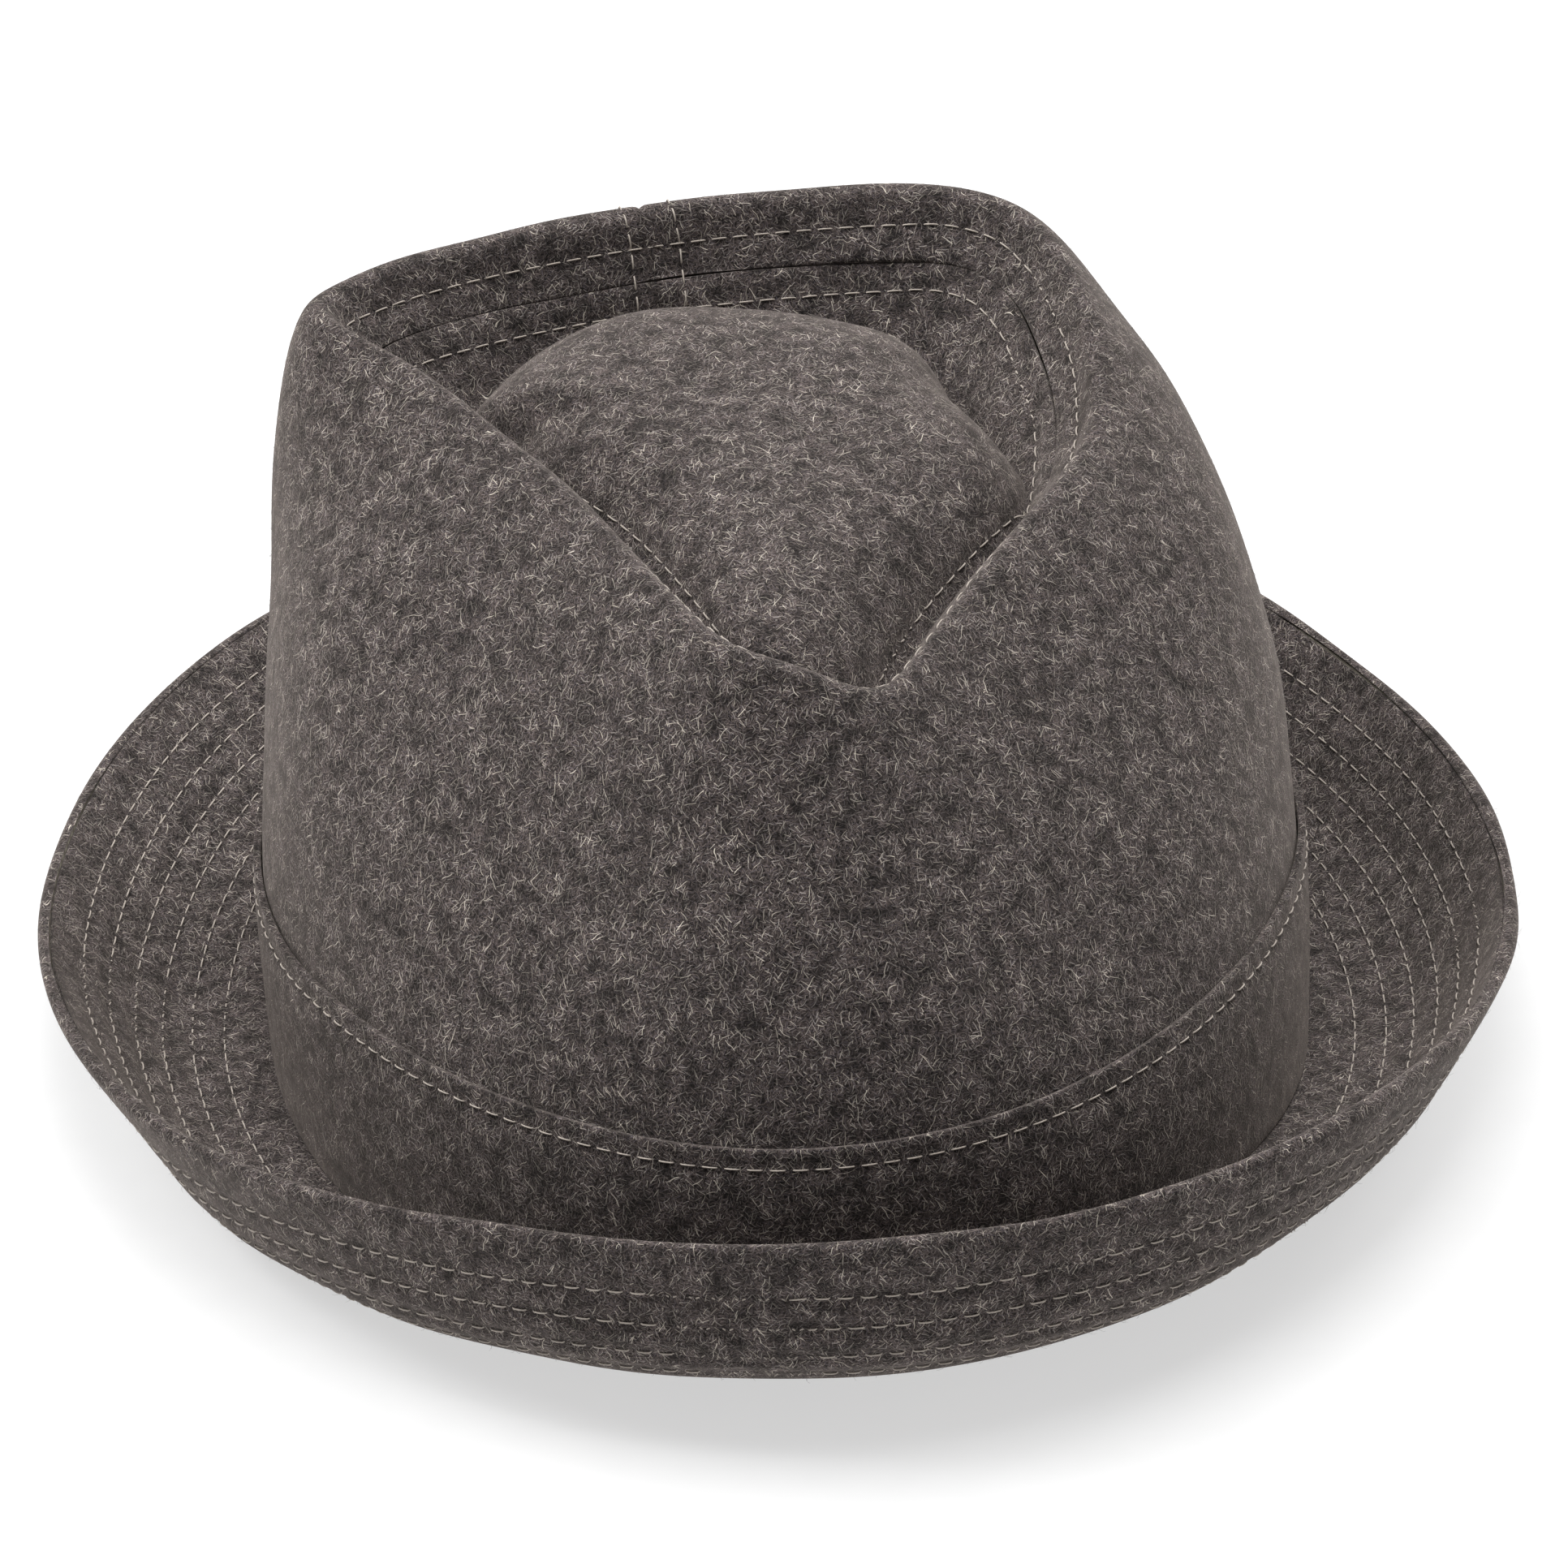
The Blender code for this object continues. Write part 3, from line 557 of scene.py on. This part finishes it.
def sew(name, node, line, *trees, closed=True):
    """A row of stitches along a line, each a copy of the one stitch bent to the cloth under it."""
    line, out = laid_on(line, *trees)
    steps = np.linalg.norm(np.diff(line, axis=0), axis=1)
    along = np.concatenate([[0], np.cumsum(steps)])
    total = along[-1] + (np.linalg.norm(line[0] - line[-1]) if closed else 0)
    count = round(total / STITCH_PITCH)
    points, faces = [], []
    for number in range(count):
        stops = (number + 0.5) * total / count + stitch_points[:, 0]
        stops = stops % total if closed else stops
        at = np.stack([np.interp(stops, along, line[:, k]) for k in range(3)], -1)
        up = np.stack([np.interp(stops, along, out[:, k]) for k in range(3)], -1)
        up /= np.linalg.norm(up, axis=1, keepdims=True)
        ahead = at[stops.argmax()] - at[stops.argmin()]
        side = np.cross(up, ahead)
        side /= np.linalg.norm(side, axis=1, keepdims=True)
        faces += [tuple(len(points) + v for v in face) for face in stitch_faces]
        points += (at + side * stitch_points[:, 1:2] + up * stitch_points[:, 2:3]).tolist()
    mesh = bpy.data.meshes.new(name)
    mesh.from_pydata(points, [], faces)
    mesh.validate()
    mesh.shade_smooth()
    row = bpy.data.objects.new(name, mesh)
    bpy.context.scene.collection.objects.link(row)
    row.data.materials.append(thread)
    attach(row, "hat")
    if node:
        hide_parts(node)


upper_tree, under_tree = surface(brim_upper), surface(brim_under)
for number, (upper_row, under_row) in enumerate(zip(upper_rows, under_rows), 1):
    sew(f"brim_upper_stitches_{number}", f"brim_topstitching_{number}", upper_row, upper_tree)
    sew(f"brim_under_stitches_{number}", None, under_row, under_tree)
side_tree, tip_tree, band_tree = surface(crown_side), surface(crown_tip), surface(hatband)
sew("ridge_stitches", "ridge_topstitching", ridge_row, side_tree)
sew("tip_stitches", "tip_topstitching", tip_row, tip_tree)
sew("hatband_stitches", "hatband_topstitching", band_row, band_tree)


RING_REACH = 0.7 * MM


def open_thread_line(node, onward):
    """The middle of a CAD thread with two ends, from the lowest end up and over, and on to one more point."""
    left = corners_of(node)
    at, knots = left[left[:, 2].argmin()], []
    while len(left):
        near = np.linalg.norm(left - at, axis=1) < RING_REACH
        knots.append(left[near].mean(0))
        left = left[~near]
        if len(left):
            at = left[np.linalg.norm(left - knots[-1], axis=1).argmin()]
    steps = np.linspace(0, 1, 5)[1:, None]
    return smooth_line(np.vstack([knots, knots[-1] + (onward - knots[-1]) * steps]), LINE_SPACING, False)


for hand in ("left", "right"):
    node = f"centre_back_topstitching_{hand}"
    beside = corners_of(node)[:, 0].mean()
    back_of_tip = tip_row[tip_row[:, 1] > 0]
    end = back_of_tip[np.abs(back_of_tip[:, 0] - beside).argmin()]
    sew(f"centre_back_stitches_{hand}", node, open_thread_line(node, end), side_tree, tip_tree, closed=False)


# Inside. A cotton twill sweatband lies over a strip of thin foam. Above it a satin lining is sewn to a satin
# tip, with corded piping over their seam.
FOLDING_FRAMES = 16


def one_skin(piece, keep):
    """Leaves only the skin of a shell whose face normals pass the test, to be worked and thickened again."""
    bpy.context.view_layer.objects.active = piece
    for face in piece.data.polygons:
        face.select = not keep(face.center, face.normal)
    for edge in piece.data.edges:
        edge.select = False
    for vertex in piece.data.vertices:
        vertex.select = False
    bpy.ops.object.mode_set(mode="EDIT")
    bpy.ops.mesh.select_mode(type="FACE")
    bpy.ops.mesh.delete(type="FACE")
    bpy.ops.object.mode_set(mode="OBJECT")


def rumple(piece, spare, most):
    """Lets spare cloth buckle between its sewn edges, by no more than the given distance.

    Each point stays on its open side, which its normals face, so that nothing behind the cloth comes through.
    """
    seat, seat_out = positions(piece), normals(piece)
    rim = piece.vertex_groups.new(name="sewn_edge")
    sides = {}
    for polygon in piece.data.polygons:
        for pair in polygon.edge_keys:
            sides[pair] = sides.get(pair, 0) + 1
    rim.add(sorted({v for pair, count in sides.items() if count == 1 for v in pair}), 1, "REPLACE")
    cloth = piece.modifiers.new("cloth", "CLOTH")
    cloth.settings.quality = 5
    cloth.settings.mass = 0.1
    cloth.settings.tension_stiffness = cloth.settings.compression_stiffness = 12
    cloth.settings.bending_stiffness = 0.15
    cloth.settings.shrink_min = -spare
    cloth.settings.vertex_group_mass = rim.name
    cloth.settings.effector_weights.gravity = 0.15
    for number in range(1, FOLDING_FRAMES + 1):
        bpy.context.scene.frame_set(number)
    bpy.context.view_layer.objects.active = piece
    deselect()
    piece.select_set(True)
    bpy.ops.object.modifier_apply(modifier=cloth.name)
    bpy.context.scene.frame_set(1)
    shift = positions(piece) - seat
    shift -= seat_out * np.minimum((shift * seat_out).sum(1, keepdims=True), 0)
    far = np.linalg.norm(shift, axis=1, keepdims=True)
    move(piece, seat + shift * most / np.maximum(far, most))


def thicken(piece, thickness):
    """Gives a single skin its thickness, away from the side that its normals face."""
    bpy.context.view_layer.objects.active = piece
    deselect()
    piece.select_set(True)
    wall = piece.modifiers.new("wall", "SOLIDIFY")
    wall.thickness = thickness
    wall.offset = -1
    bpy.ops.object.modifier_apply(modifier=wall.name)
    bpy.ops.object.shade_smooth()


# Black cotton twill: matt, with a fine slanting rib that looks grey where it is rubbed. The slant is worked
# out as if the head were round, with the hat's mean radius.
TWILL_PITCH = 0.75
LINT_SIZE = 0.5
HEAD_RADIUS = 0.09
twill = bpy.data.materials.new("black_cotton_twill")
twill.use_nodes = True
twill_shader = twill.node_tree.nodes["Principled BSDF"]
twill_place = add_node(twill, "TexCoord").outputs["Object"]
axes = add_node(twill, "SeparateXYZ", {"Vector": twill_place})
turn = add_node(twill, "Math", {0: axes.outputs["X"], 1: axes.outputs["Y"]}, operation="ARCTAN2")
round_way = add_node(twill, "Math", {0: turn.outputs["Value"], 1: HEAD_RADIUS}, operation="MULTIPLY")
slant = add_node(twill, "Math", {0: round_way.outputs["Value"], 1: axes.outputs["Z"]}, operation="ADD")
turns = add_node(
    twill, "Math", {0: slant.outputs["Value"], 1: 2000 * math.pi / TWILL_PITCH}, operation="MULTIPLY"
)
rib = add_node(twill, "Math", {0: turns.outputs["Value"]}, operation="SINE")
lint = add_node(twill, "TexNoise", {"Vector": twill_place, "Scale": 1000 / LINT_SIZE, "Detail": 3.0})
rib_share = add_node(
    twill, "MapRange", {"Value": rib.outputs["Value"], "From Min": -1.0, "From Max": 1.0}
)
worn = add_node(
    twill, "Math", {0: rib_share.outputs["Result"], 1: lint.outputs["Fac"]}, operation="MULTIPLY"
)
twill_tone = add_node(
    twill,
    "Mix",
    {"Factor": worn.outputs["Value"], "A": linear("#111113"), "B": linear("#3b3a3d")},
    data_type="RGBA",
)
twill.node_tree.links.new(twill_tone.outputs["Result"], twill_shader.inputs["Base Color"])
twill_bump = add_node(
    twill, "Bump", {"Height": worn.outputs["Value"], "Strength": 0.6, "Distance": 0.15 * MM}
)
twill.node_tree.links.new(twill_bump.outputs["Normal"], twill_shader.inputs["Normal"])
twill_shader.inputs["Roughness"].default_value = 0.75
twill_shader.inputs["Sheen Weight"].default_value = 0.15

# Open-cell foam, off-white and dull, with darker pores.
PORE_SIZE = 0.6
foam = bpy.data.materials.new("white_open_cell_foam")
foam.use_nodes = True
foam_shader = foam.node_tree.nodes["Principled BSDF"]
foam_place = add_node(foam, "TexCoord").outputs["Object"]
pores = add_node(foam, "TexVoronoi", {"Vector": foam_place, "Scale": 1000 / PORE_SIZE})
foam_tone = add_node(
    foam,
    "Mix",
    {"Factor": pores.outputs["Distance"], "A": linear("#c9c6be"), "B": linear("#efece6")},
    data_type="RGBA",
)
foam.node_tree.links.new(foam_tone.outputs["Result"], foam_shader.inputs["Base Color"])
foam_shader.inputs["Roughness"].default_value = 0.9

# Polyester lining satin: long floating yarns give it a soft sheen that runs along them.
YARN_SIZE = 0.3
satin = bpy.data.materials.new("charcoal_polyester_satin")
satin.use_nodes = True
satin_shader = satin.node_tree.nodes["Principled BSDF"]
satin_place = add_node(satin, "TexCoord").outputs["Object"]
floats = add_node(satin, "Mapping", {"Vector": satin_place, "Scale": (1.0, 1.0, 0.12)})
yarns = add_node(
    satin, "TexNoise", {"Vector": floats.outputs["Vector"], "Scale": 1000 / YARN_SIZE, "Detail": 2.0}
)
satin_tone = add_node(
    satin,
    "Mix",
    {"Factor": yarns.outputs["Fac"], "A": linear("#2a2a2e"), "B": linear("#48484e")},
    data_type="RGBA",
)
satin.node_tree.links.new(satin_tone.outputs["Result"], satin_shader.inputs["Base Color"])
satin_bump = add_node(
    satin, "Bump", {"Height": yarns.outputs["Fac"], "Strength": 0.25, "Distance": 0.08 * MM}
)
satin.node_tree.links.new(satin_bump.outputs["Normal"], satin_shader.inputs["Normal"])
satin_shader.inputs["Roughness"].default_value = 0.38
satin_shader.inputs["Anisotropic"].default_value = 0.5

sweatband = cloth_copy("sweatband", "sweatband_twill", 3)
ruffle(sweatband, size=22 * MM, height=0.25 * MM, seed=31)
sweatband.data.materials.append(twill)
finish_piece(sweatband, "sweatband")
sweatband_foam = cloth_copy("sweatband_foam", "sweatband_foam_strip", 2)
sweatband_foam.data.materials.append(foam)
finish_piece(sweatband_foam, "sweatband_foam")

SATIN_THICKNESS = 0.35 * MM
lining_side = cloth_copy("lining_side", "lining_side_satin", 2)
one_skin(lining_side, lambda at, out: at.x * out.x + at.y * out.y < 0)
lining_tip = cloth_copy("lining_tip", "lining_tip_satin", 3)
one_skin(lining_tip, lambda at, out: out.z < 0)
for piece, node, spare, most in (
    (lining_side, "lining_side", 0.05, 2.2 * MM),
    (lining_tip, "lining_tip", 0.03, 5 * MM),
):
    rumple(piece, spare, most)
    thicken(piece, SATIN_THICKNESS)
    piece.data.materials.append(satin)
    finish_piece(piece, node)

PIPING_RADIUS = 1.0 * MM
PIPING_SPACING = 2 * MM
deselect()
piping_curve = bpy.data.curves.new("lining_piping_cord", "CURVE")
piping_curve.dimensions = "3D"
piping_curve.bevel_depth = PIPING_RADIUS
piping_curve.bevel_resolution = 3
piping_line = thread_line("lining_piping", PIPING_SPACING)
spline = piping_curve.splines.new("POLY")
spline.points.add(len(piping_line) - 1)
for point, place in zip(spline.points, piping_line):
    point.co = (*place, 1)
spline.use_cyclic_u = True
piping = bpy.data.objects.new("lining_piping_cord", piping_curve)
bpy.context.scene.collection.objects.link(piping)
bpy.context.view_layer.objects.active = piping
piping.select_set(True)
bpy.ops.object.convert(target="MESH")
piping = bpy.context.object
piping.data.shade_smooth()
piping.data.materials.append(satin)
finish_piece(piping, "lining_piping")


# Care label. A tab of white satin ribbon, blank, sewn in at the centre back by its top edge, so that it flips
# up. Its fine cross ribs and smooth face catch a little light.
RIBBON_PITCH = 0.6908
LABEL_CURL = 1.6 * MM
LABEL_COLUMNS, LABEL_ROWS = 24, 14
label_low, label_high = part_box("care_label")
label_size = label_high - label_low
label_satin = bpy.data.materials.new("white_satin_ribbon")
label_satin.use_nodes = True
ribbon_shader = label_satin.node_tree.nodes["Principled BSDF"]
ribbon_place = add_node(label_satin, "TexCoord").outputs["Object"]
ribbon_weave = add_node(
    label_satin,
    "TexWave",
    {"Vector": ribbon_place, "Scale": MILLIMETRE_BANDS / RIBBON_PITCH, "Distortion": 1.0},
    bands_direction="Z",
)
ribbon_tone = add_node(
    label_satin,
    "Mix",
    {"Factor": ribbon_weave.outputs["Fac"], "A": linear("#d9d8d2"), "B": linear("#f1f0ec")},
    data_type="RGBA",
)
label_satin.node_tree.links.new(ribbon_tone.outputs["Result"], ribbon_shader.inputs["Base Color"])
ribbon_shader.inputs["Roughness"].default_value = 0.42
deselect()
bpy.ops.mesh.primitive_cube_add(size=1, location=(label_low + label_high) / 2)
label = bpy.context.object
label.name = "care_label_ribbon"
label.scale = label_size
bpy.ops.object.transform_apply(location=True, rotation=True, scale=True)
bpy.ops.object.mode_set(mode="EDIT")
for count, axis in ((LABEL_COLUMNS, 0), (LABEL_ROWS, 2)):
    for step in range(1, count):
        cut = label_low.copy()
        cut[axis] += label_size[axis] * step / count
        direction = [0, 0, 0]
        direction[axis] = 1
        bpy.ops.mesh.select_all(action="SELECT")
        bpy.ops.mesh.bisect(plane_co=cut, plane_no=direction)
bpy.ops.object.mode_set(mode="OBJECT")
points = positions(label)
hang = (label_high.z - points[:, 2]) / label_size.z
aside = (points[:, 0] - label_low.x) / label_size.x - 0.5
points[:, 1] -= LABEL_CURL * hang**2 * (0.6 + 0.8 * aside) * (1 - 0.4 * np.cos(2 * math.pi * aside))
move(label, points)
label.data.shade_smooth()
label.data.materials.append(label_satin)
finish_piece(label, "care_label", body="label")


# Nap. Milling and raising leave loose fibre ends standing off the flannel, dull grey and brown, a dozen or
# more to the square centimetre on every face that can be seen. They soften the hat's outline.
NAP_LENGTHS = (0.6 * MM, 1.8 * MM)
NAP_THICK = 0.05 * MM
NAP_CLEAR = 4 * MM
ROOT_DEPTH = 0.05 * MM
LOOK_FROM = 0.2 * MM
TRIES_PER_FIBRE = 3
BLEND_SIZE = 2.5
deselect()
bpy.ops.mesh.primitive_cone_add(
    vertices=3, radius1=NAP_THICK / 2, radius2=NAP_THICK / 6, depth=1, location=(0, 0, 0.5)
)
fibre = bpy.context.object
bpy.ops.object.transform_apply(location=True)
bpy.ops.object.mode_set(mode="EDIT")
for share in (0.35, 0.7):
    bpy.ops.mesh.select_all(action="SELECT")
    bpy.ops.mesh.bisect(plane_co=(0, 0, share), plane_no=(0, 0, 1))
bpy.ops.object.mode_set(mode="OBJECT")
fibre_points = positions(fibre)
fibre_faces = [tuple(face.vertices) for face in fibre.data.polygons]
bpy.data.objects.remove(fibre)

loose_wool = bpy.data.materials.new("loose_undyed_wool_fibre")
loose_wool.use_nodes = True
loose_shader = loose_wool.node_tree.nodes["Principled BSDF"]
loose_place = add_node(loose_wool, "TexCoord").outputs["Object"]
blend_noise = add_node(
    loose_wool, "TexNoise", {"Vector": loose_place, "Scale": 1000 / BLEND_SIZE, "Detail": 0.0}
)
blend_share = add_node(
    loose_wool, "MapRange", {"Value": blend_noise.outputs["Fac"], "From Min": 0.35, "From Max": 0.65}
)
blend_tone = add_node(
    loose_wool,
    "Mix",
    {"Factor": blend_share.outputs["Result"], "A": linear("#3f3a38"), "B": linear("#857c73")},
    data_type="RGBA",
)
loose_wool.node_tree.links.new(blend_tone.outputs["Result"], loose_shader.inputs["Base Color"])
loose_shader.inputs["Roughness"].default_value = 0.7

wool_pieces = (crown_side, crown_tip, hatband, brim_upper, brim_under)
covers = [surface(piece) for piece in (*wool_pieces, side_canvas, tip_canvas, brim_canvas, sweatband_foam)]


def in_the_open(root, out):
    """Whether nothing stands over a place on the cloth, so that a fibre there has room and can be seen."""
    start = Vector(root + out * LOOK_FROM)
    return all(tree.ray_cast(start, Vector(out), NAP_CLEAR)[0] is None for tree in covers)


def raise_nap(piece, name, count, seed):
    """Loose fibres rooted all over a cloth's open faces, each with its own lean, heading and curl."""
    draw = np.random.default_rng(seed)
    piece.data.calc_loop_triangles()
    corners = positions(piece)[np.array([t.vertices for t in piece.data.loop_triangles])]
    crossed = np.cross(corners[:, 1] - corners[:, 0], corners[:, 2] - corners[:, 0])
    areas = np.linalg.norm(crossed, axis=1)
    tries = TRIES_PER_FIBRE * count
    picked = draw.choice(len(areas), size=tries, p=areas / areas.sum())
    shares = draw.dirichlet((1, 1, 1), size=tries)
    roots = (corners[picked] * shares[:, :, None]).sum(1)
    outs = crossed[picked] / areas[picked][:, None]
    open_air = [n for n, (root, out) in enumerate(zip(roots, outs)) if in_the_open(root, out)][:count]
    roots, outs = roots[open_air][:, None], outs[open_air][:, None]
    total = len(roots)
    heading = np.cross(outs, draw.normal(size=(total, 1, 3)))
    heading /= np.linalg.norm(heading, axis=2, keepdims=True)
    aside = np.cross(outs, heading)
    length = draw.uniform(*NAP_LENGTHS, size=(total, 1, 1))
    lean = np.radians(draw.uniform(8, 50, size=(total, 1, 1)))
    curl = draw.normal(0, 0.35, size=(total, 1, 1))
    along = fibre_points[None, :, 2:3]
    spine = np.cos(lean) * along * heading + np.sin(lean) * along * (1.3 - 0.7 * along) * outs
    spine += curl * along**2 * aside
    points = roots - outs * ROOT_DEPTH + length * spine
    points += fibre_points[None, :, 0:1] * aside + fibre_points[None, :, 1:2] * outs
    points[..., 2] = np.maximum(points[..., 2], TABLE_CLEAR)
    step = len(fibre_points)
    faces = [tuple(v + n * step for v in face) for n in range(total) for face in fibre_faces]
    mesh = bpy.data.meshes.new(name)
    mesh.from_pydata(points.reshape(-1, 3).tolist(), [], faces)
    mesh.materials.append(loose_wool)
    made = bpy.data.objects.new(name, mesh)
    bpy.context.scene.collection.objects.link(made)
    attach(made, "hat")


for piece, name, slot, count, seed in (
    (crown_side, "crown_side_nap", "crown_wool", 9000, 51),
    (crown_tip, "crown_tip_nap", "crown_wool", 3000, 52),
    (hatband, "hatband_nap", "band_wool", 2500, 53),
    (brim_upper, "brim_upper_nap", "brim_wool", 5000, 54),
    (brim_under, "brim_under_nap", "brim_wool", 6000, 55),
):
    raise_nap(piece, name, count, seed)
